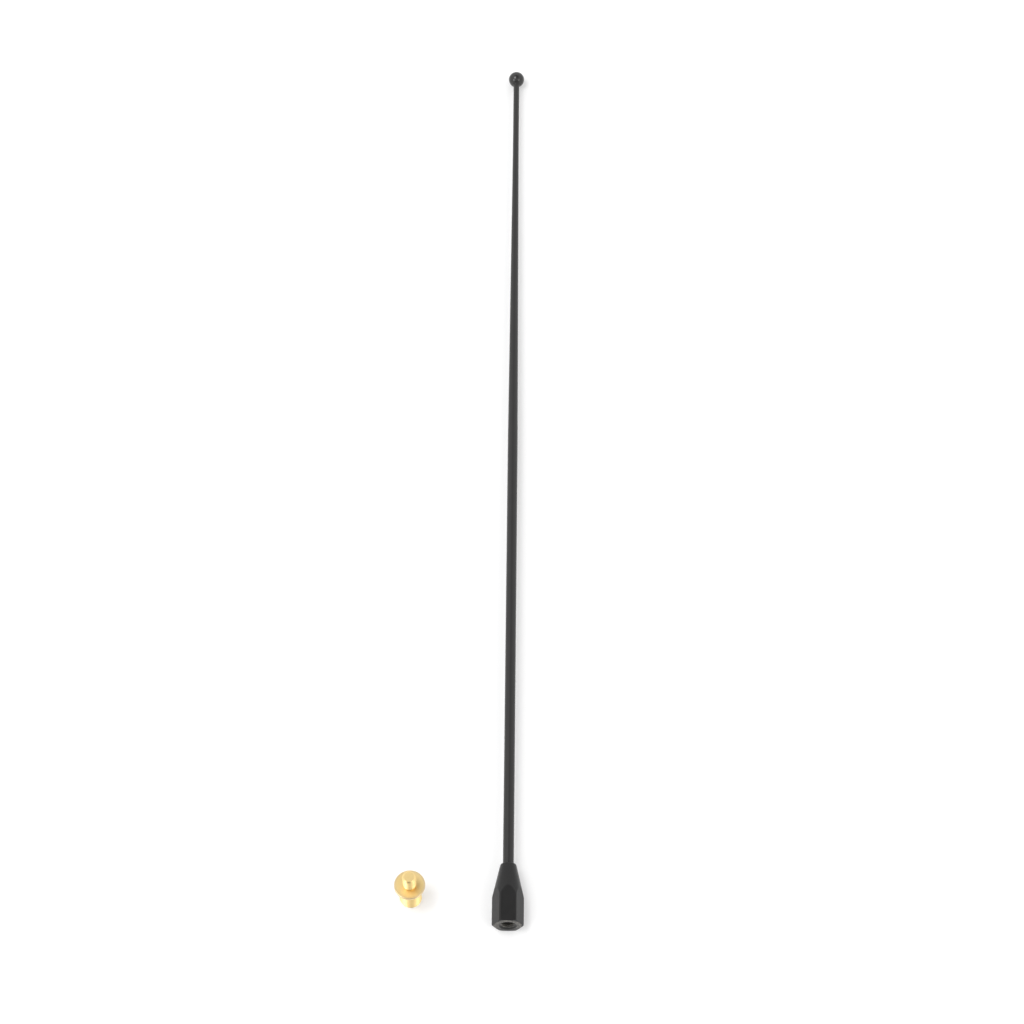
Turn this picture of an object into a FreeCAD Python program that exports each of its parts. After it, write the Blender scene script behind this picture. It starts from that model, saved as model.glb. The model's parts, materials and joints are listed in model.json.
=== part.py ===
import FreeCAD, Part
import math
import os

os.makedirs("parts", exist_ok=True)

# A short car antenna that lies on its side, with its brass thread adapter standing beside it.
# Millimetres, +Z up. The origin is the centre of the antenna's threaded mouth, and the whip runs
# from there along +Y. Lengths "from the mouth" are measured along the antenna's own axis.

# Whole antenna
overall_length = 406.4
braze_gap = 0.03

# Ferrule, turned from hexagon bar
hexagon_across_flats = 10.2
ferrule_length = 23.6
cone_start = 10.2
shoulder_diameter = 5.84
shoulder_round = 0.6
mouth_face_diameter = 9.2
mouth_chamfer_degrees = 10.0

# Threaded bore in the ferrule's mouth
bore_thread_diameter = 5.0
bore_thread_pitch = 0.8
bore_depth = 10.0
countersink_diameter = 6.9
countersink_degrees = 120.0
drill_point_degrees = 118.0

# Whip, a rod that tapers towards its tip
whip_diameter = 4.0
whip_tip_diameter = 2.54
thin_end_length = 37.6
taper_length = 154.0
whip_end_chamfer = 0.3
socket_depth = 8.5

# Ball at the tip
ball_diameter = 6.85
ball_hole_depth = 4.6

# Thread adapter, one turned piece of brass, and where it stands
adapter_x = -35.3
adapter_y = 12.45
lower_thread_diameter = 8.0
lower_stud_length = 11.5
lower_stud_chamfer = 0.5
flange_diameter = 11.2
flange_thickness = 1.0
flange_edge_bevel = 0.2
upper_stud_length = 7.0
upper_stud_chamfer = 0.6
upper_relief_depth = 0.5
upper_relief_length = 1.0
thread_clearance = 0.03

# Sizes that follow from those above
corner_radius = hexagon_across_flats / math.sqrt(3)
flat_height = hexagon_across_flats / 2
cone_slope = (corner_radius - shoulder_diameter / 2) / (ferrule_length - cone_start)
flat_end = cone_start + (corner_radius - flat_height) / cone_slope
bore_radius = (bore_thread_diameter - bore_thread_pitch) / 2
ball_radius = ball_diameter / 2
ball_centre = overall_length - ball_radius
taper_end = overall_length - ball_diameter - thin_end_length
taper_start = taper_end - taper_length
lathe_allowance = hexagon_across_flats / 10
hexagon_corners = 6
full_turn = 360

# At rest the far end of the ferrule's lowest flat and the underside of the ball touch the ground.
lever = ball_centre - flat_end
rest_tilt = math.atan2(flat_height, lever) - math.asin(ball_radius / math.hypot(lever, flat_height))
ground = -(ball_centre * math.sin(rest_tilt) + ball_radius)


def rounded_corner(before, corner, after, radius):
    """Edges of the path from before to after, with an arc of this radius at the corner."""
    incoming = (before - corner).normalize()
    outgoing = (after - corner).normalize()
    half_angle = incoming.getAngle(outgoing) / 2
    start = corner + incoming * (radius / math.tan(half_angle))
    end = corner + outgoing * (radius / math.tan(half_angle))
    bisector = (incoming + outgoing).normalize()
    middle = corner + bisector * (radius / math.sin(half_angle) - radius)
    arc = Part.Arc(start, middle, end).toShape()
    return [Part.LineSegment(before, start).toShape(), arc, Part.LineSegment(end, after).toShape()]


def path(points):
    """Straight edges from point to point."""
    return [Part.LineSegment(a, b).toShape() for a, b in zip(points, points[1:])]


def turned(edges, axis):
    """Solid of revolution of a closed outline about one of the frame's axes."""
    outline = Part.Face(Part.Wire(edges))
    return outline.revolve(FreeCAD.Vector(0, 0, 0), axis, full_turn)


def along_y(radius, length):
    """Outline point of a piece that is turned about the antenna's axis."""
    return FreeCAD.Vector(radius, length, 0)


def along_z(radius, height):
    """Outline point of a piece that is turned about an upright axis."""
    return FreeCAD.Vector(radius, 0, height)


def laid_down(shape):
    """The antenna's piece, tipped about the mouth so that the ball touches the ground."""
    placed = shape.copy()
    placed.rotate(FreeCAD.Vector(0, 0, 0), FreeCAD.Vector(1, 0, 0), -math.degrees(rest_tilt))
    return placed


def hexagon_bar():
    """Bar stock with one flat down, from the mouth to the shoulder."""
    corners = []
    for step in range(hexagon_corners + 1):
        turn = math.radians(full_turn / hexagon_corners * step)
        corners.append(FreeCAD.Vector(corner_radius * math.cos(turn), 0, corner_radius * math.sin(turn)))
    return Part.Face(Part.makePolygon(corners)).extrude(FreeCAD.Vector(0, ferrule_length, 0))


def lathe_envelope():
    """What the lathe leaves of the bar: mouth chamfer, clear middle, long cone, rounded shoulder."""
    clear_radius = corner_radius + lathe_allowance
    mouth_radius = mouth_face_diameter / 2
    chamfer_end = (clear_radius - mouth_radius) * math.tan(math.radians(mouth_chamfer_degrees))
    cone_top = cone_start - (clear_radius - corner_radius) / cone_slope
    mouth_points = [along_y(0, 0), along_y(mouth_radius, 0), along_y(clear_radius, chamfer_end)]
    cone_foot = along_y(clear_radius, cone_top)
    shoulder = along_y(shoulder_diameter / 2, ferrule_length)
    axis_end = along_y(0, ferrule_length)
    edges = path(mouth_points + [cone_foot])
    edges += rounded_corner(cone_foot, shoulder, axis_end, shoulder_round)
    edges += path([axis_end, along_y(0, 0)])
    return turned(edges, FreeCAD.Vector(0, 1, 0))


def mouth_bore():
    """Tapping hole with its countersink and the cone that the drill's point leaves."""
    sink_radius = countersink_diameter / 2
    sink_depth = (sink_radius - bore_radius) / math.tan(math.radians(countersink_degrees / 2))
    point_length = bore_radius / math.tan(math.radians(drill_point_degrees / 2))
    points = [along_y(0, 0), along_y(sink_radius, 0), along_y(bore_radius, sink_depth)]
    points += [along_y(bore_radius, bore_depth), along_y(0, bore_depth + point_length), along_y(0, 0)]
    return turned(path(points), FreeCAD.Vector(0, 1, 0))


def whip_socket():
    """Blind hole in the shoulder that takes the end of the whip."""
    start = FreeCAD.Vector(0, ferrule_length - socket_depth, 0)
    return Part.makeCylinder(whip_diameter / 2 + braze_gap, socket_depth, start, FreeCAD.Vector(0, 1, 0))


def hex_ferrule():
    body = hexagon_bar().common(lathe_envelope())
    return body.cut(mouth_bore()).cut(whip_socket())


def whip_rod():
    """Straight rod, then a long taper, then a thin straight end inside the ball."""
    root = ferrule_length - socket_depth
    tip = overall_length - ball_diameter + ball_hole_depth
    radius = whip_diameter / 2
    tip_radius = whip_tip_diameter / 2
    points = [along_y(0, root), along_y(radius - whip_end_chamfer, root)]
    points += [along_y(radius, root + whip_end_chamfer), along_y(radius, taper_start)]
    points += [along_y(tip_radius, taper_end), along_y(tip_radius, tip - whip_end_chamfer)]
    points += [along_y(tip_radius - whip_end_chamfer, tip), along_y(0, tip), along_y(0, root)]
    return turned(path(points), FreeCAD.Vector(0, 1, 0))


def ball_tip():
    """Ball with the blind hole that the whip's thin end is fixed in."""
    near_side = ball_centre - ball_radius
    ball = Part.makeSphere(ball_radius, FreeCAD.Vector(0, ball_centre, 0), FreeCAD.Vector(0, 1, 0))
    start = FreeCAD.Vector(0, near_side, 0)
    hole = Part.makeCylinder(whip_tip_diameter / 2 + braze_gap, ball_hole_depth, start, FreeCAD.Vector(0, 1, 0))
    return ball.cut(hole)


def flange_rim():
    """Bevelled rim of the flange, from its underside to its upper face."""
    radius = flange_diameter / 2
    top = lower_stud_length + flange_thickness
    rim = [along_z(radius - flange_edge_bevel, lower_stud_length)]
    rim += [along_z(radius, lower_stud_length + flange_edge_bevel), along_z(radius, top - flange_edge_bevel)]
    return rim + [along_z(radius - flange_edge_bevel, top)]


def thread_adapter():
    """Lower stud for the vehicle's socket, flange, and upper stud for the antenna's bore.

    The upper stud has a relief beside the flange, where its thread runs out, so the ferrule seats flat."""
    lower_radius = lower_thread_diameter / 2
    upper_radius = bore_thread_diameter / 2 - thread_clearance
    relief_radius = upper_radius - upper_relief_depth
    flange_top = lower_stud_length + flange_thickness
    relief_top = flange_top + upper_relief_length
    top = flange_top + upper_stud_length
    points = [along_z(0, 0), along_z(lower_radius - lower_stud_chamfer, 0)]
    points += [along_z(lower_radius, lower_stud_chamfer), along_z(lower_radius, lower_stud_length)]
    points += flange_rim()
    points += [along_z(relief_radius, flange_top), along_z(relief_radius, relief_top - upper_relief_depth)]
    points += [along_z(upper_radius, relief_top), along_z(upper_radius, top - upper_stud_chamfer)]
    points += [along_z(upper_radius - upper_stud_chamfer, top), along_z(0, top), along_z(0, 0)]
    adapter = turned(path(points), FreeCAD.Vector(0, 0, 1))
    adapter.translate(FreeCAD.Vector(adapter_x, adapter_y, ground))
    return adapter


pieces = {
    "hex_ferrule": laid_down(hex_ferrule()),
    "whip_rod": laid_down(whip_rod()),
    "ball_tip": laid_down(ball_tip()),
    "thread_adapter": thread_adapter(),
}

for name, shape in pieces.items():
    shape.exportStep("parts/" + name + ".step")
    box = shape.BoundBox
    print(name, shape.isValid(), len(shape.Solids), round(shape.Volume, 3), box)

print("rest tilt", round(math.degrees(rest_tilt), 4), "ground", round(ground, 4), "flat end", round(flat_end, 3))
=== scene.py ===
import json
import math

import bmesh
import bpy
import numpy as np
from mathutils import Matrix, Vector


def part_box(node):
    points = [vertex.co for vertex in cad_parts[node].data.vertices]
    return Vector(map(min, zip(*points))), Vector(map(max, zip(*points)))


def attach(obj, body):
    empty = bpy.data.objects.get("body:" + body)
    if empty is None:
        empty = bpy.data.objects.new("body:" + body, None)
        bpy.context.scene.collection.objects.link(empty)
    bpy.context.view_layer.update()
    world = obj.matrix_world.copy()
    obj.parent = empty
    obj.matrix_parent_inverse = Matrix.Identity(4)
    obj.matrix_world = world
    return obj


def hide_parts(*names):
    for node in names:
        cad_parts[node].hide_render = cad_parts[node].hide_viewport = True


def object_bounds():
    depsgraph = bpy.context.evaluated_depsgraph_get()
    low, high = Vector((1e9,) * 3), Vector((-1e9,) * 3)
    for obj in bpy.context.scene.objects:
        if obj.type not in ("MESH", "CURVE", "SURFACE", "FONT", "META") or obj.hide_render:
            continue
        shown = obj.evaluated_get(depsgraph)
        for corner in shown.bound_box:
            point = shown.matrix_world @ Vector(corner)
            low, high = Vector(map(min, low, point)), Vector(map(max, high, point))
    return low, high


# A short car antenna lying on a white table, with its brass thread adapter standing beside it.
# Meshes are made in millimetres, each round its own axis, and then placed in the frame in metres.

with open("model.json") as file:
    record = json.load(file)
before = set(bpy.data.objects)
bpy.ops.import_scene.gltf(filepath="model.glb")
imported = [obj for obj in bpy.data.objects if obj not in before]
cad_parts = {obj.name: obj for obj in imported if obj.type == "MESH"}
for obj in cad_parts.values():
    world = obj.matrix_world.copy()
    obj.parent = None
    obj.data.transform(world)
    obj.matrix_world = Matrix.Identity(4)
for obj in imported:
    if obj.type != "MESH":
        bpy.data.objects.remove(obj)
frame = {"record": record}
cad_low, cad_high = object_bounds()

MM = 0.001
FULL_TURN = 2 * math.pi
HEXAGON_SIDES = 6
SECTOR = FULL_TURN / HEXAGON_SIDES

# Sizes in millimetres that the frame doesn't give, as in the part's source
CONE_START = 10.2
SHOULDER_DIAMETER = 5.84
SHOULDER_ROUND = 0.6
MOUTH_FACE_DIAMETER = 9.2
MOUTH_CHAMFER = math.radians(10)
COUNTERSINK_DIAMETER = 6.9
COUNTERSINK = math.radians(120)
BORE_DEPTH = 10.0
DRILL_POINT = math.radians(118)
SOCKET_DEPTH = 8.5
BRAZE_GAP = 0.03
TAPER_LENGTH = 154.0
THIN_END_LENGTH = 37.6
WHIP_TIP_RADIUS = 1.27
WHIP_END_CHAMFER = 0.3
BALL_HOLE_DEPTH = 4.6
LOWER_STUD_RADIUS = 4.0
LOWER_STUD_LENGTH = 11.5
LOWER_STUD_CHAMFER = 0.5
FLANGE_THICKNESS = 1.0
FLANGE_EDGE_BEVEL = 0.2
UPPER_STUD_CHAMFER = 0.6
UPPER_RELIEF_DEPTH = 0.5
UPPER_RELIEF_LENGTH = 1.0
THREAD_CLEARANCE = 0.03

# Metric threads, in millimetres. The crest's place, its half width and the depth of a thread on a
# stud are shares of the pitch. The lower thread runs out between two numbers of turns below the
# flange, and the bore's bottom has no thread.
BORE_THREAD_RADIUS = 2.5
BORE_THREAD_PITCH = 0.8
LOWER_THREAD_PITCH = 1.25
CREST_PHASE = 0.5
CREST_HALF_WIDTH = 1 / 16
FLANK_SLOPE = math.tan(math.radians(60))
EXTERNAL_THREAD_DEPTH = 0.6134
TAP_LEAD_LENGTH = 1.2
PLAIN_BORE_LENGTH = 1.2
RUN_OUT_TURNS = (2, 1)

# What the coating rounds and fills, and what the lathe tool rounds on the flange, in millimetres.
# The reach is the share of a fillet over which its corner is rounded.
HEXAGON_EDGE_ROUND = 0.7
COATED_EDGE = 0.12
SOCKET_EDGE = COATED_EDGE / 2
CONE_EDGE_SOFTNESS = 0.45
SHOULDER_FILLET = 0.12
BALL_FILLET = 0.25
FILLET_REACH = 0.8
FLANGE_FACE_EDGE = FLANGE_EDGE_BEVEL / 4
FLANGE_RIM_EDGE = FLANGE_EDGE_BEVEL / 3

# Fineness of the meshes, with lengths in millimetres. The columns on a flat stop short of the
# rounded edge by a share of half that edge, and a rounded corner takes no more than its share of the
# lines beside it.
ROWS_PER_PITCH = 16
COLUMNS = 96
ADAPTER_COLUMNS = 128
FLAT_COLUMNS = 21
EDGE_COLUMNS = 7
FLAT_MARGIN = 0.6
WHIP_ROW_SPACING = 8.0
CORNER_STEPS = 4
LONGEST_CORNER_SHARE = 0.48
WELD_DISTANCE = 0.0004
SHORTEST_EDGE = 0.0001
SHARP_ANGLE = math.radians(40)

# Noise: features to the metre, and layers of finer detail. Roughness follows its middle values.
MOTTLING = (140, 2)
UNEVEN_GLOSS = (700, 3)
ORANGE_PEEL = (900, 1)
COATING_GRAIN = (7000, 2)
METAL_SPECKS = (9000, 2)
TOOL_MARKS = (9000, 2)
BRASS_TONE = (350, 3)
BRASS_UNEVENNESS = (2500, 2)
NOISE_MIDDLE = (0.25, 0.75)

# Depth of the relief, in metres
ORANGE_PEEL_DEPTH = 0.0000025
COATING_GRAIN_DEPTH = 0.0000006
TOOL_MARK_DEPTH = 0.000006
BRASS_UNEVENNESS_DEPTH = 0.000004

# Coatings: darkest and lightest colour, least and most roughness, index of refraction
FERRULE_COATING = (((0.004, 0.004, 0.0043), (0.009, 0.0086, 0.0086)), (0.30, 0.38), 1.40)
WHIP_COATING = (((0.013, 0.0125, 0.0125), (0.018, 0.017, 0.0165)), (0.32, 0.40), 1.44)
BALL_COATING = (((0.022, 0.0215, 0.0215), (0.030, 0.029, 0.0285)), (0.15, 0.20), 1.48)

# Wear round the mouth. Specks go from none to bare metal over a span of their noise. The other
# spans are in metres, from whole wear to none: on the face its depth along the antenna and its
# height, and in the bore its radius and depth. Fading the face's wear out towards the table is
# painted shade, which keeps the face's lower edge darker. The bore's wear is a share of the face's.
WORN_METAL = (0.50, 0.47, 0.41)
SPECKS_SHOW = (0.54, 0.64)
FACE_WEAR_DEPTH = (0.00005, 0.00012)
# On the face the wear fades out downwards over this span of height, as painted shade near the table.
FACE_PAINTED_SHADE_HEIGHT = (-0.0010, -0.0034)
BORE_WEAR_RADIUS = (0.0026, 0.0027)
BORE_WEAR_DEPTH = (0.010, 0.012)
BORE_WEAR = 0.85

# Brass, which turns darker and duller over the rim's span, in metres from the axis. This darker
# rim colour is painted shade for the dark edge round the flange.
BRASS_DEEP = (0.88, 0.64, 0.26)
BRASS_PALE = (0.95, 0.74, 0.36)
BRASS_RIM_SHADE = (0.76, 0.60, 0.36)
BRASS_RIM_SHADE_SPAN = (0.0046, 0.0055)
BRASS_ROUGHNESS = (0.30, 0.44)

# Table, in metres. Its glow for the camera is least within the first distance from the lamps'
# target, and whole beyond the second.
TABLE_SIZE = 24
TABLE_COLOUR = (0.97, 0.97, 0.97)
TABLE_ROUGHNESS = 0.9
TABLE_GLOW = 0.28
TABLE_GLOW_SPAN = (0.5, 2.5)

# Room: pairs of elevation in degrees and brightness, and the darker place of the photographer as a
# direction, the distances from it on the unit sphere where its edge starts and ends, and its share
# of the room's brightness
ROOM_LEVELS = ((0, 0.98), (42, 1.24), (52, 1.12), (58, 0.65), (66, 0.33), (90, 0.15))
PHOTOGRAPHER = Vector((0, -0.97, 0.26))
PHOTOGRAPHER_SPAN = (0.40, 0.65)
PHOTOGRAPHER_LEVEL = 0.22

# Lamps: name, azimuth and elevation in degrees, side in metres, radiance and colour. Azimuth 0 is
# the camera's side, and 90 its right.
LAMP_TARGET = Vector((0, 0.15, 0))
LAMP_DISTANCE = 2.2
LAMPS = (
    ("top_lamp", -85, 68, 0.9, 6.6, (1, 1, 1)),
    ("left_lamp", -52, 32, 0.9, 3.2, (0.95, 0.97, 1)),
    ("right_lamp", 50, 36, 0.8, 2.6, (1, 0.98, 0.95)),
)

# Camera: lens and sensor in millimetres, place and reach in metres, angles below the horizon and
# towards -X in degrees
CAMERA_LENS = 84.4
CAMERA_SENSOR = 36
CAMERA_PLACE = (0.00442, -0.32671, 0.80959)
CAMERA_DIP = 58.242
CAMERA_TURN = 0.5057
CAMERA_NEAR = 0.01
CAMERA_FAR = 50


def extent(node):
    """Lowest and highest corner of a CAD node, in millimetres."""
    low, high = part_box(node)
    return low / MM, high / MM


def antenna_placement():
    """Placement and tilt of the antenna. The placement takes millimetres round its own axis, here
    +Z, to the frame: laid along +Y and tipped to its rest."""
    mounts = frame["record"]["mounts"]
    bore = next(mount for mount in mounts if mount["name"] == "threaded_bore")
    tilt = math.atan2(bore["axis"][2], -bore["axis"][1])
    turn = Matrix(((0, 1, 0, 0), (0, 0, 1, 0), (1, 0, 0, 0), (0, 0, 0, 1)))
    return Matrix.Rotation(-tilt, 4, "X") @ turn @ Matrix.Scale(MM, 4), tilt


def adapter_placement():
    """From millimetres round the adapter's upright axis to the frame, standing on the table."""
    low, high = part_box("thread_adapter")
    foot = Vector(((low.x + high.x) / 2, (low.y + high.y) / 2, low.z))
    return Matrix.Translation(foot) @ Matrix.Scale(MM, 4)


ANTENNA, TILT = antenna_placement()
ADAPTER = adapter_placement()
GROUND = cad_low.z


def softened(outline):
    """Outline of (radius, height) points with its corners rounded by the reach that each point
    gives as a third value."""
    result = []
    for index, point in enumerate(outline):
        corner = Vector(point[:2])
        reach = point[2] if len(point) > 2 else 0
        if not reach:
            result.append(tuple(corner))
            continue
        before = Vector(outline[index - 1][:2]) - corner
        after = Vector(outline[index + 1][:2]) - corner
        start = before * min(reach / before.length, LONGEST_CORNER_SHARE)
        end = after * min(reach / after.length, LONGEST_CORNER_SHARE)
        for step in range(CORNER_STEPS + 1):
            share = step / CORNER_STEPS
            result.append(tuple(corner + start * (1 - share) ** 2 + end * share ** 2))
    return result


def divided(outline, spacing):
    """The outline with points added where two neighbours are further apart than the spacing."""
    result = [outline[0]]
    for before, after in zip(outline, outline[1:]):
        pieces = max(1, math.ceil(math.dist(before, after) / spacing))
        for step in range(1, pieces + 1):
            share = step / pieces
            result.append(tuple(Vector(before).lerp(Vector(after), share)))
    return result


def lathe_rows(outline, angles):
    """The same (radius, height) point at each angle, row by row."""
    return [[point] * len(angles) for point in outline]


def thread_rows(angles, start, end, pitch, radius_at):
    """Rows of a right-handed thread. Along a row the thread's phase stays the same while the
    height climbs."""
    count = math.ceil(((end - start) / pitch + 1) * ROWS_PER_PITCH)
    rows = []
    for index in range(count + 1):
        phase = index / ROWS_PER_PITCH
        heights = [start + pitch * (phase - 1 + angle / FULL_TURN) for angle in angles]
        heights = np.clip(heights, start, end)
        rows.append([(radius_at(phase % 1, height), float(height)) for height in heights])
    return rows


def add_surface(mesh, rows, angles, shift=0):
    """Faces between neighbouring rows, closed round the axis. With a shift the last column meets
    the first one that many rows further on, as in a thread."""
    spots = []
    for row in rows:
        spots.append([mesh.verts.new((radius * math.cos(angle), radius * math.sin(angle), height))
                      for angle, (radius, height) in zip(angles, row)])
    last = len(rows) - 1
    for row in range(last):
        for column in range(len(angles)):
            following = (column + 1) % len(angles)
            step = 0 if following else shift
            corners = (spots[row][column], spots[min(row + step, last)][following],
                       spots[min(row + 1 + step, last)][following], spots[row + 1][column])
            distinct = list(dict.fromkeys(corners))
            if len(distinct) > 2:
                mesh.faces.new(distinct)


def finish_piece(mesh, name, placement, material):
    """Welds a mesh, places it in the frame and makes it the visible form of the CAD node of the
    same name."""
    bmesh.ops.remove_doubles(mesh, verts=mesh.verts, dist=WELD_DISTANCE)
    bmesh.ops.dissolve_degenerate(mesh, edges=mesh.edges, dist=SHORTEST_EDGE)
    bmesh.ops.recalc_face_normals(mesh, faces=mesh.faces)
    mesh.transform(placement)
    data = bpy.data.meshes.new(name + "_surface")
    mesh.to_mesh(data)
    mesh.free()
    data.shade_smooth()
    data.set_sharp_from_angle(angle=SHARP_ANGLE)
    data.materials.append(material)
    piece = bpy.data.objects.new(name + "_surface", data)
    bpy.context.scene.collection.objects.link(piece)
    normals = piece.modifiers.new("even_normals", "WEIGHTED_NORMAL")
    normals.keep_sharp = True
    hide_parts(name)
    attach(piece, "root")


def even_angles(columns):
    return [FULL_TURN * column / columns for column in range(columns)]


def rounded_edge_start(flat_height):
    """Angle from the middle of a flat to where the rounding of the hexagon's edge starts."""
    inner_flat = flat_height - HEXAGON_EDGE_ROUND
    return math.atan(inner_flat * math.tan(SECTOR / 2) / flat_height)


def hexagon_angles(flat_height):
    """Angles of the ferrule's columns, closer together round the six edges of the hexagon."""
    edge_start = rounded_edge_start(flat_height)
    half_edge = SECTOR / 2 - edge_start
    on_flat = np.linspace(-1, 1, FLAT_COLUMNS) * (edge_start - half_edge * FLAT_MARGIN)
    on_edge = SECTOR / 2 + np.linspace(-1, 1, EDGE_COLUMNS) * half_edge
    sector = list(on_flat) + list(on_edge)
    return [float(SECTOR * side + angle) for side in range(HEXAGON_SIDES) for angle in sector]


def hexagon_radius(angle, flat_height):
    """Distance from the axis to the hexagon's surface, whose edges are rounded. A flat lies round
    angle 0."""
    from_flat = abs((angle + SECTOR / 2) % SECTOR - SECTOR / 2)
    if from_flat < rounded_edge_start(flat_height):
        return flat_height / math.cos(from_flat)
    edge_centre = (flat_height - HEXAGON_EDGE_ROUND) / math.cos(SECTOR / 2)
    from_edge = SECTOR / 2 - from_flat
    across = edge_centre * math.sin(from_edge)
    return edge_centre * math.cos(from_edge) + math.sqrt(HEXAGON_EDGE_ROUND ** 2 - across ** 2)


def thread_drop(phase, pitch):
    """How far the thread's basic profile lies inside its crest."""
    return FLANK_SLOPE * pitch * max(0.0, abs(phase - CREST_PHASE) - CREST_HALF_WIDTH)


def external_thread_drop(phase, pitch):
    """The same for a thread on a stud, whose root is cut flat."""
    return min(thread_drop(phase, pitch), EXTERNAL_THREAD_DEPTH * pitch)


def build_ferrule(material):
    """Hexagonal ferrule with a threaded bore in its mouth and a socket for the whip."""
    corner_radius = extent("hex_ferrule")[1].x
    flat_height = corner_radius * math.cos(SECTOR / 2)
    whip_low, whip_high = extent("whip_rod")
    length = whip_low.y / math.cos(TILT) + SOCKET_DEPTH
    socket_radius = whip_high.x + BRAZE_GAP
    shoulder_radius = SHOULDER_DIAMETER / 2
    mouth_radius = MOUTH_FACE_DIAMETER / 2
    cone_slope = (corner_radius - shoulder_radius) / (length - CONE_START)
    drill_radius = BORE_THREAD_RADIUS - BORE_THREAD_PITCH / 2
    sink_radius = COUNTERSINK_DIAMETER / 2
    sink_end = (sink_radius - drill_radius) / math.tan(COUNTERSINK / 2)
    sink_lip = COATED_EDGE * math.cos(COUNTERSINK / 2)
    lip_radius = sink_radius - COATED_EDGE * math.sin(COUNTERSINK / 2)
    lead_start = BORE_DEPTH - (PLAIN_BORE_LENGTH + TAP_LEAD_LENGTH)
    lead_end = BORE_DEPTH - PLAIN_BORE_LENGTH
    point_length = drill_radius / math.tan(DRILL_POINT / 2)
    angles = hexagon_angles(flat_height)

    def outline_at(angle):
        """Outline from the countersink's lip, over the outside, to the bottom of the socket."""
        bar = hexagon_radius(angle, flat_height)
        chamfer_top = (bar - mouth_radius) * math.tan(MOUTH_CHAMFER)
        cone_edge = CONE_START + (corner_radius - bar) / cone_slope
        return softened([
            (lip_radius, sink_lip),
            (sink_radius, 0, COATED_EDGE),
            (mouth_radius, 0, COATED_EDGE),
            (bar, chamfer_top, COATED_EDGE),
            (bar, cone_edge, CONE_EDGE_SOFTNESS),
            (shoulder_radius, length, SHOULDER_ROUND),
            (socket_radius, length, SOCKET_EDGE),
            (socket_radius, length - SOCKET_DEPTH),
            (0, length - SOCKET_DEPTH),
        ])

    def bore_radius_at(phase, height):
        """The thread, opened by the countersink and closed by the tap's lead."""
        lowest = np.interp(height, (0, sink_end), (sink_radius, drill_radius))
        highest = np.interp(height, (lead_start, lead_end), (BORE_THREAD_RADIUS, drill_radius))
        thread = BORE_THREAD_RADIUS - thread_drop(phase, BORE_THREAD_PITCH)
        return float(max(lowest, min(thread, highest)))

    outside = [list(row) for row in zip(*(outline_at(angle) for angle in angles))]
    bore = thread_rows(angles, sink_lip, BORE_DEPTH, BORE_THREAD_PITCH, bore_radius_at)
    drill_point = [(drill_radius, BORE_DEPTH), (0, BORE_DEPTH + point_length)]
    mesh = bmesh.new()
    add_surface(mesh, outside, angles)
    add_surface(mesh, bore, angles, ROWS_PER_PITCH)
    add_surface(mesh, lathe_rows(drill_point, angles), angles)
    finish_piece(mesh, "hex_ferrule", ANTENNA, material)


def build_whip(material):
    """Tapered rod. The coating fills the corner where it leaves the ferrule, and where it meets
    the ball."""
    low, high = extent("whip_rod")
    radius = high.x
    root = low.y / math.cos(TILT)
    shoulder = root + SOCKET_DEPTH
    ball_high = extent("ball_tip")[1]
    ball_radius = ball_high.x
    overall = (ball_high.y - ball_radius) / math.cos(TILT) + ball_radius
    taper_end = overall - 2 * ball_radius - THIN_END_LENGTH
    tip = overall - 2 * ball_radius + BALL_HOLE_DEPTH
    fillet_radius = WHIP_TIP_RADIUS + BALL_FILLET

    def meets_ball(reach):
        """Height where a line at this distance from the axis enters the ball."""
        return overall - ball_radius - math.sqrt(ball_radius ** 2 - reach ** 2)

    outline = [
        (0, root),
        (radius - WHIP_END_CHAMFER, root),
        (radius, root + WHIP_END_CHAMFER),
        (radius, shoulder),
        (radius + SHOULDER_FILLET, shoulder),
        (radius, shoulder + SHOULDER_FILLET, SHOULDER_FILLET * FILLET_REACH),
        (radius, taper_end - TAPER_LENGTH, WHIP_ROW_SPACING),
        (WHIP_TIP_RADIUS, taper_end, WHIP_ROW_SPACING),
        (WHIP_TIP_RADIUS, meets_ball(fillet_radius) - BALL_FILLET, BALL_FILLET * FILLET_REACH),
        (fillet_radius, meets_ball(fillet_radius)),
        (WHIP_TIP_RADIUS, meets_ball(WHIP_TIP_RADIUS)),
        (WHIP_TIP_RADIUS, tip - WHIP_END_CHAMFER),
        (WHIP_TIP_RADIUS - WHIP_END_CHAMFER, tip),
        (0, tip),
    ]
    angles = even_angles(COLUMNS)
    mesh = bmesh.new()
    add_surface(mesh, lathe_rows(divided(softened(outline), WHIP_ROW_SPACING), angles), angles)
    finish_piece(mesh, "whip_rod", ANTENNA, material)


def build_ball(material):
    """Ball with the blind hole that the whip's thin end is fixed in."""
    high = extent("ball_tip")[1]
    radius = high.x
    centre = (high.y - radius) / math.cos(TILT)
    hole = WHIP_TIP_RADIUS + BRAZE_GAP
    hole_angle = math.asin(hole / radius)
    arc = [hole_angle + (math.pi - hole_angle) * step / COLUMNS for step in range(COLUMNS + 1)]
    sphere = [(radius * math.sin(angle), centre - radius * math.cos(angle)) for angle in arc]
    floor = centre - radius + BALL_HOLE_DEPTH
    angles = even_angles(COLUMNS)
    mesh = bmesh.new()
    add_surface(mesh, lathe_rows([(0, floor), (hole, floor)] + sphere, angles), angles)
    finish_piece(mesh, "ball_tip", ANTENNA, material)


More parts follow.
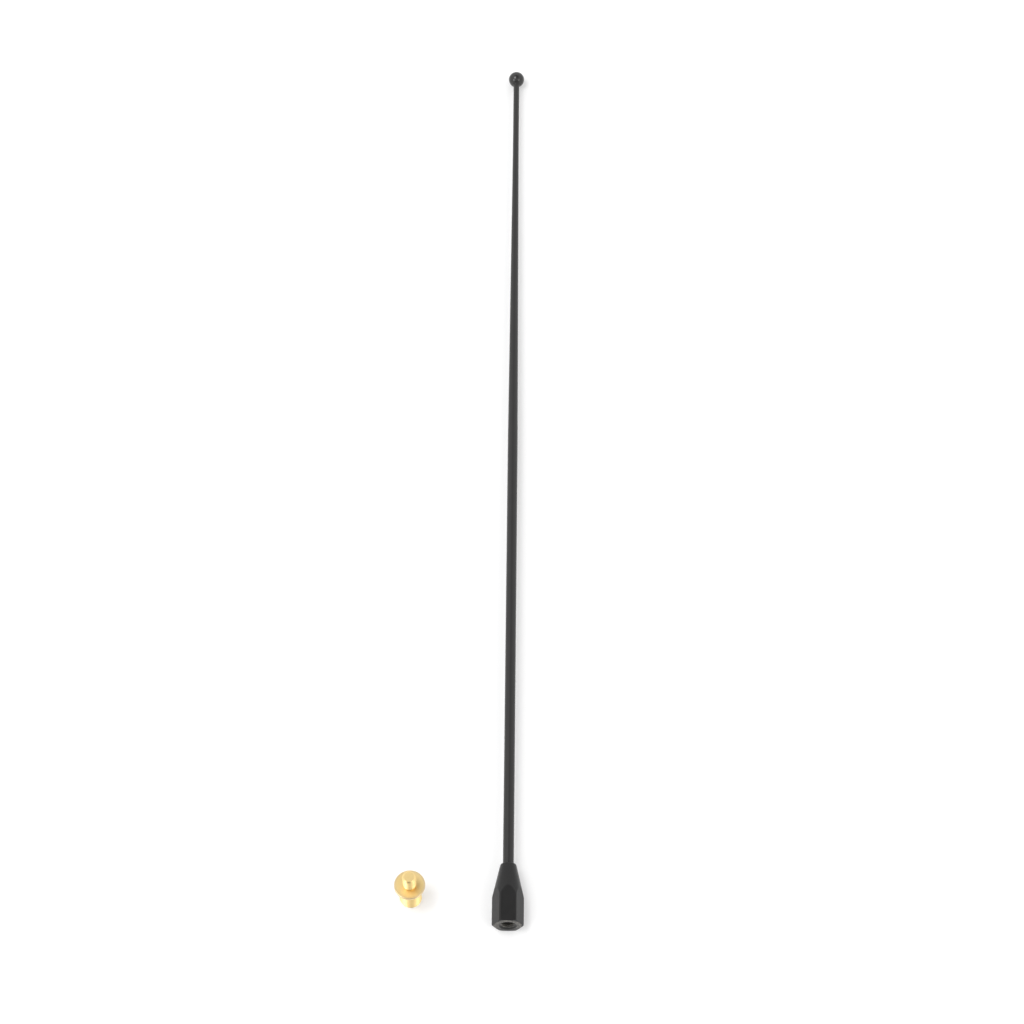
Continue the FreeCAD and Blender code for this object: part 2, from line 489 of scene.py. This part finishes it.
def build_adapter(material):
    """Threaded lower stud, flange and threaded upper stud, turned from one piece."""
    low, high = extent("thread_adapter")
    flange_radius = (high.x - low.x) / 2
    top = high.z - low.z
    flange_top = LOWER_STUD_LENGTH + FLANGE_THICKNESS
    upper_radius = BORE_THREAD_RADIUS - THREAD_CLEARANCE
    relief_radius = upper_radius - UPPER_RELIEF_DEPTH
    relief_top = flange_top + UPPER_RELIEF_LENGTH
    run_out = [LOWER_STUD_LENGTH - turns * LOWER_THREAD_PITCH for turns in RUN_OUT_TURNS]
    angles = even_angles(ADAPTER_COLUMNS)

    def lower_radius_at(phase, height):
        """The thread, with a chamfer at its foot and a run-out below the flange."""
        highest = np.interp(height, (0, LOWER_STUD_CHAMFER),
                            (LOWER_STUD_RADIUS - LOWER_STUD_CHAMFER, LOWER_STUD_RADIUS))
        lowest = np.interp(height, run_out,
                           (LOWER_STUD_RADIUS - LOWER_THREAD_PITCH, LOWER_STUD_RADIUS))
        thread = LOWER_STUD_RADIUS - external_thread_drop(phase, LOWER_THREAD_PITCH)
        return float(min(highest, max(thread, lowest)))

    def upper_radius_at(phase, height):
        """The thread, with a relief beside the flange and a chamfer at its top."""
        heights = (relief_top - UPPER_RELIEF_DEPTH, relief_top, top - UPPER_STUD_CHAMFER, top)
        highest = np.interp(height, heights, (relief_radius, upper_radius, upper_radius,
                                              upper_radius - UPPER_STUD_CHAMFER))
        return float(min(highest, upper_radius - external_thread_drop(phase, BORE_THREAD_PITCH)))

    inner_rim = flange_radius - FLANGE_EDGE_BEVEL
    flange = softened([
        (LOWER_STUD_RADIUS, LOWER_STUD_LENGTH),
        (inner_rim, LOWER_STUD_LENGTH, FLANGE_FACE_EDGE),
        (flange_radius, LOWER_STUD_LENGTH + FLANGE_EDGE_BEVEL, FLANGE_RIM_EDGE),
        (flange_radius, flange_top - FLANGE_EDGE_BEVEL, FLANGE_RIM_EDGE),
        (inner_rim, flange_top, FLANGE_FACE_EDGE),
        (relief_radius, flange_top),
    ])
    foot = [(0, 0), (LOWER_STUD_RADIUS - LOWER_STUD_CHAMFER, 0)]
    tip = [(upper_radius - UPPER_STUD_CHAMFER, top), (0, top)]
    lower = thread_rows(angles, 0, LOWER_STUD_LENGTH, LOWER_THREAD_PITCH, lower_radius_at)
    upper = thread_rows(angles, flange_top, top, BORE_THREAD_PITCH, upper_radius_at)
    mesh = bmesh.new()
    for rows, shift in ((lathe_rows(foot, angles), 0), (lower, ROWS_PER_PITCH),
                        (lathe_rows(flange, angles), 0), (upper, ROWS_PER_PITCH),
                        (lathe_rows(tip, angles), 0)):
        add_surface(mesh, rows, angles, shift)
    finish_piece(mesh, "thread_adapter", ADAPTER, material)


def new_material(name):
    """A material with nodes, its node tree and its shader."""
    material = bpy.data.materials.new(name)
    material.use_nodes = True
    tree = material.node_tree
    return material, tree, tree.nodes["Principled BSDF"]


def feed(tree, value, socket):
    """Gives an input the output of another node, a colour or a number."""
    if isinstance(value, bpy.types.NodeSocket):
        tree.links.new(value, socket)
    elif isinstance(value, tuple):
        socket.default_value = (*value, 1)
    else:
        socket.default_value = value


def object_place(tree):
    return tree.nodes.new("ShaderNodeTexCoord").outputs["Object"]


def coordinates(tree, vector):
    """The vector's X, Y and Z."""
    split = tree.nodes.new("ShaderNodeSeparateXYZ")
    tree.links.new(vector, split.inputs["Vector"])
    return split.outputs["X"], split.outputs["Y"], split.outputs["Z"]


def noise_value(tree, vector, noise):
    """Grey noise with this many features to the metre and layers of finer detail."""
    texture = tree.nodes.new("ShaderNodeTexNoise")
    texture.inputs["Scale"].default_value, texture.inputs["Detail"].default_value = noise
    tree.links.new(vector, texture.inputs["Vector"])
    return texture.outputs["Fac"]


def ranged(tree, value, source, target):
    """The value moved from one range to another, and held within it."""
    change = tree.nodes.new("ShaderNodeMapRange")
    change.inputs["From Min"].default_value, change.inputs["From Max"].default_value = source
    change.inputs["To Min"].default_value, change.inputs["To Max"].default_value = target
    tree.links.new(value, change.inputs["Value"])
    return change.outputs["Result"]


def faded(tree, value, span):
    """One where the value is at the span's first end, down to nothing at its second."""
    return ranged(tree, value, span, (1, 0))


def combined(tree, operation, first, second):
    """Two values put together by a math operation."""
    result = tree.nodes.new("ShaderNodeMath")
    result.operation = operation
    feed(tree, first, result.inputs[0])
    feed(tree, second, result.inputs[1])
    return result.outputs["Value"]


def vector_math(tree, operation, vector, fixed=(0, 0, 0)):
    """The node that puts a vector and a fixed one together by a vector operation."""
    node = tree.nodes.new("ShaderNodeVectorMath")
    node.operation = operation
    node.inputs[1].default_value = fixed
    tree.links.new(vector, node.inputs[0])
    return node


def distance_from_axis(tree, first, second):
    """Length of the vector with these two coordinates."""
    across = tree.nodes.new("ShaderNodeCombineXYZ")
    tree.links.new(first, across.inputs["X"])
    tree.links.new(second, across.inputs["Y"])
    return vector_math(tree, "LENGTH", across.outputs["Vector"]).outputs["Value"]


def blended_colour(tree, factor, first, second):
    """The first colour where the factor is nothing, and the second where it is one."""
    mix = tree.nodes.new("ShaderNodeMix")
    mix.data_type = "RGBA"
    feed(tree, factor, mix.inputs["Factor"])
    feed(tree, first, mix.inputs["A"])
    feed(tree, second, mix.inputs["B"])
    return mix.outputs["Result"]


def relief(tree, height, depth, previous=None):
    """A bump of this depth in metres, over an earlier one if there is one."""
    bump = tree.nodes.new("ShaderNodeBump")
    bump.inputs["Strength"].default_value = 1
    bump.inputs["Distance"].default_value = depth
    tree.links.new(height, bump.inputs["Height"])
    if previous:
        tree.links.new(previous, bump.inputs["Normal"])
    return bump.outputs["Normal"]


def coating_material(name, colours, roughness, refraction):
    """Black coating: faint mottling, a little uneven gloss, orange peel and a fine grain."""
    material, tree, shader = new_material(name)
    place = object_place(tree)
    colour = blended_colour(tree, noise_value(tree, place, MOTTLING), *colours)
    gloss = ranged(tree, noise_value(tree, place, UNEVEN_GLOSS), NOISE_MIDDLE, roughness)
    peel = relief(tree, noise_value(tree, place, ORANGE_PEEL), ORANGE_PEEL_DEPTH)
    grain = relief(tree, noise_value(tree, place, COATING_GRAIN), COATING_GRAIN_DEPTH, peel)
    tree.links.new(colour, shader.inputs["Base Color"])
    tree.links.new(gloss, shader.inputs["Roughness"])
    tree.links.new(grain, shader.inputs["Normal"])
    shader.inputs["IOR"].default_value = refraction
    return material


def mouth_wear_and_painted_shade(tree, place):
    """How much handling has rubbed the coating off: most on the mouth's face, less on the thread
    inside, none elsewhere. On the face it fades out towards the table, as painted shade on the
    face's lower edge."""
    x, y, z = coordinates(tree, place)
    # Fading the face's wear out with height is painted shade: the lower edge near the table stays
    # darker.
    face = combined(tree, "MULTIPLY", faded(tree, y, FACE_WEAR_DEPTH),
                    faded(tree, z, FACE_PAINTED_SHADE_HEIGHT))
    inside = faded(tree, distance_from_axis(tree, x, z), BORE_WEAR_RADIUS)
    bore = combined(tree, "MULTIPLY", inside, faded(tree, y, BORE_WEAR_DEPTH))
    return combined(tree, "MAXIMUM", face, combined(tree, "MULTIPLY", bore, BORE_WEAR))


def worn_coating_material(name, colours, roughness, refraction):
    """The coating, with fine specks of bare metal round the mouth and in its thread. The specks thin
    out towards the face's lower edge, as painted shade.
    """
    material = coating_material(name, colours, roughness, refraction)
    tree = material.node_tree
    shader = tree.nodes["Principled BSDF"]
    place = object_place(tree)
    specks = ranged(tree, noise_value(tree, place, METAL_SPECKS), SPECKS_SHOW, (0, 1))
    # Specks of wear, fewer towards the face's lower edge as painted shade.
    wear_and_painted_shade = combined(tree, "MULTIPLY", specks, mouth_wear_and_painted_shade(tree, place))
    coated = shader.inputs["Base Color"].links[0].from_socket
    colour = blended_colour(tree, wear_and_painted_shade, coated, WORN_METAL)
    tree.links.new(colour, shader.inputs["Base Color"])
    tree.links.new(wear_and_painted_shade, shader.inputs["Metallic"])
    return material


def brass_material():
    """Turned brass: rings left by the tool on every face, slight changes of tone and gloss, and a
    darker, duller rim colour that is painted shade."""
    material, tree, shader = new_material("turned_brass")
    place = object_place(tree)
    centred = vector_math(tree, "SUBTRACT", place, ADAPTER.translation)
    x, y, z = coordinates(tree, centred.outputs["Vector"])
    radius = distance_from_axis(tree, x, y)
    ring_place = tree.nodes.new("ShaderNodeCombineXYZ")
    tree.links.new(combined(tree, "ADD", radius, z), ring_place.inputs["X"])
    rings = noise_value(tree, ring_place.outputs["Vector"], TOOL_MARKS)
    tone = blended_colour(tree, noise_value(tree, place, BRASS_TONE), BRASS_DEEP, BRASS_PALE)
    # The rim's darker colour is painted shade, not a change in the metal.
    colour = blended_colour(tree, faded(tree, radius, BRASS_RIM_SHADE_SPAN), BRASS_RIM_SHADE, tone)
    gloss = ranged(tree, rings, NOISE_MIDDLE, BRASS_ROUGHNESS)
    turned = relief(tree, rings, TOOL_MARK_DEPTH)
    unevenness = noise_value(tree, place, BRASS_UNEVENNESS)
    handled = relief(tree, unevenness, BRASS_UNEVENNESS_DEPTH, turned)
    tree.links.new(colour, shader.inputs["Base Color"])
    tree.links.new(gloss, shader.inputs["Roughness"])
    tree.links.new(handled, shader.inputs["Normal"])
    shader.inputs["Metallic"].default_value = 1
    return material


def table_material():
    """White table that takes shadows. The camera and shiny surfaces see it close to pure white
    near the object, and wholly so far from it."""
    material, tree, shader = new_material("white_table")
    shader.inputs["Base Color"].default_value = (*TABLE_COLOUR, 1)
    shader.inputs["Roughness"].default_value = TABLE_ROUGHNESS
    shader.inputs["Specular IOR Level"].default_value = 0
    glow = tree.nodes.new("ShaderNodeEmission")
    glow.inputs["Strength"].default_value = 1
    path = tree.nodes.new("ShaderNodeLightPath")
    seen = path.outputs["Is Camera Ray"]
    for kind in ("Is Glossy Ray", "Is Transmission Ray"):
        seen = combined(tree, "MAXIMUM", seen, path.outputs[kind])
    away = vector_math(tree, "DISTANCE", object_place(tree), LAMP_TARGET)
    share = ranged(tree, away.outputs["Value"], TABLE_GLOW_SPAN, (TABLE_GLOW, 1))
    mix = tree.nodes.new("ShaderNodeMixShader")
    tree.links.new(combined(tree, "MULTIPLY", share, seen), mix.inputs["Fac"])
    tree.links.new(shader.outputs["BSDF"], mix.inputs[1])
    tree.links.new(glow.outputs["Emission"], mix.inputs[2])
    tree.links.new(mix.outputs["Shader"], tree.nodes["Material Output"].inputs["Surface"])
    return material


def build_table():
    half = TABLE_SIZE / 2
    data = bpy.data.meshes.new("table")
    corners = ((-half, -half), (half, -half), (half, half), (-half, half))
    data.from_pydata([(x, y, GROUND) for x, y in corners], [], [(0, 1, 2, 3)])
    data.materials.append(table_material())
    table = bpy.data.objects.new("table", data)
    bpy.context.scene.collection.objects.link(table)


def build_world():
    """Studio room, pale near the horizon, and dark overhead between the lamps and where the
    photographer stands."""
    world = bpy.data.worlds.new("studio")
    world.use_nodes = True
    bpy.context.scene.world = world
    tree = world.node_tree
    background = tree.nodes["Background"]
    direction = tree.nodes.new("ShaderNodeTexCoord").outputs["Generated"]
    ramp = tree.nodes.new("ShaderNodeValToRGB")
    stops = ramp.color_ramp.elements
    for elevation, _ in ROOM_LEVELS[len(stops):]:
        stops.new(math.sin(math.radians(elevation)))
    for stop, (elevation, level) in zip(stops, ROOM_LEVELS):
        stop.position = math.sin(math.radians(elevation))
        stop.color = (level, level, level, 1)
    height = coordinates(tree, direction)[2]
    tree.links.new(height, ramp.inputs["Fac"])
    tree.links.new(ramp.outputs["Color"], background.inputs["Color"])
    apart = vector_math(tree, "DISTANCE", direction, PHOTOGRAPHER).outputs["Value"]
    strength = ranged(tree, apart, PHOTOGRAPHER_SPAN, (PHOTOGRAPHER_LEVEL, 1))
    tree.links.new(strength, background.inputs["Strength"])


def build_lamp(name, azimuth, elevation, side, radiance, colour):
    """Soft square lamp that faces the object."""
    azimuth, elevation = math.radians(azimuth), math.radians(elevation)
    flat = math.cos(elevation)
    outward = Vector((math.sin(azimuth) * flat, -math.cos(azimuth) * flat, math.sin(elevation)))
    light = bpy.data.lights.new(name, "AREA")
    light.shape = "SQUARE"
    light.size = side
    light.energy = radiance * math.pi * side * side
    light.color = colour
    lamp = bpy.data.objects.new(name, light)
    lamp.location = LAMP_TARGET + outward * LAMP_DISTANCE
    lamp.rotation_euler = outward.to_track_quat("Z", "Y").to_euler()
    bpy.context.scene.collection.objects.link(lamp)


def build_camera():
    data = bpy.data.cameras.new("camera")
    data.sensor_width = CAMERA_SENSOR
    data.lens = CAMERA_LENS
    data.clip_start = CAMERA_NEAR
    data.clip_end = CAMERA_FAR
    camera = bpy.data.objects.new("camera", data)
    camera.location = CAMERA_PLACE
    camera.rotation_euler = (math.radians(90 - CAMERA_DIP), 0, math.radians(CAMERA_TURN))
    bpy.context.scene.collection.objects.link(camera)
    bpy.context.scene.camera = camera


build_camera()
build_world()
for lamp_values in LAMPS:
    build_lamp(*lamp_values)
build_table()
build_ferrule(worn_coating_material("ferrule_coating", *FERRULE_COATING))
build_whip(coating_material("whip_coating", *WHIP_COATING))
build_ball(coating_material("ball_coating", *BALL_COATING))
build_adapter(brass_material())

bpy.context.scene.view_settings.view_transform = "Standard"
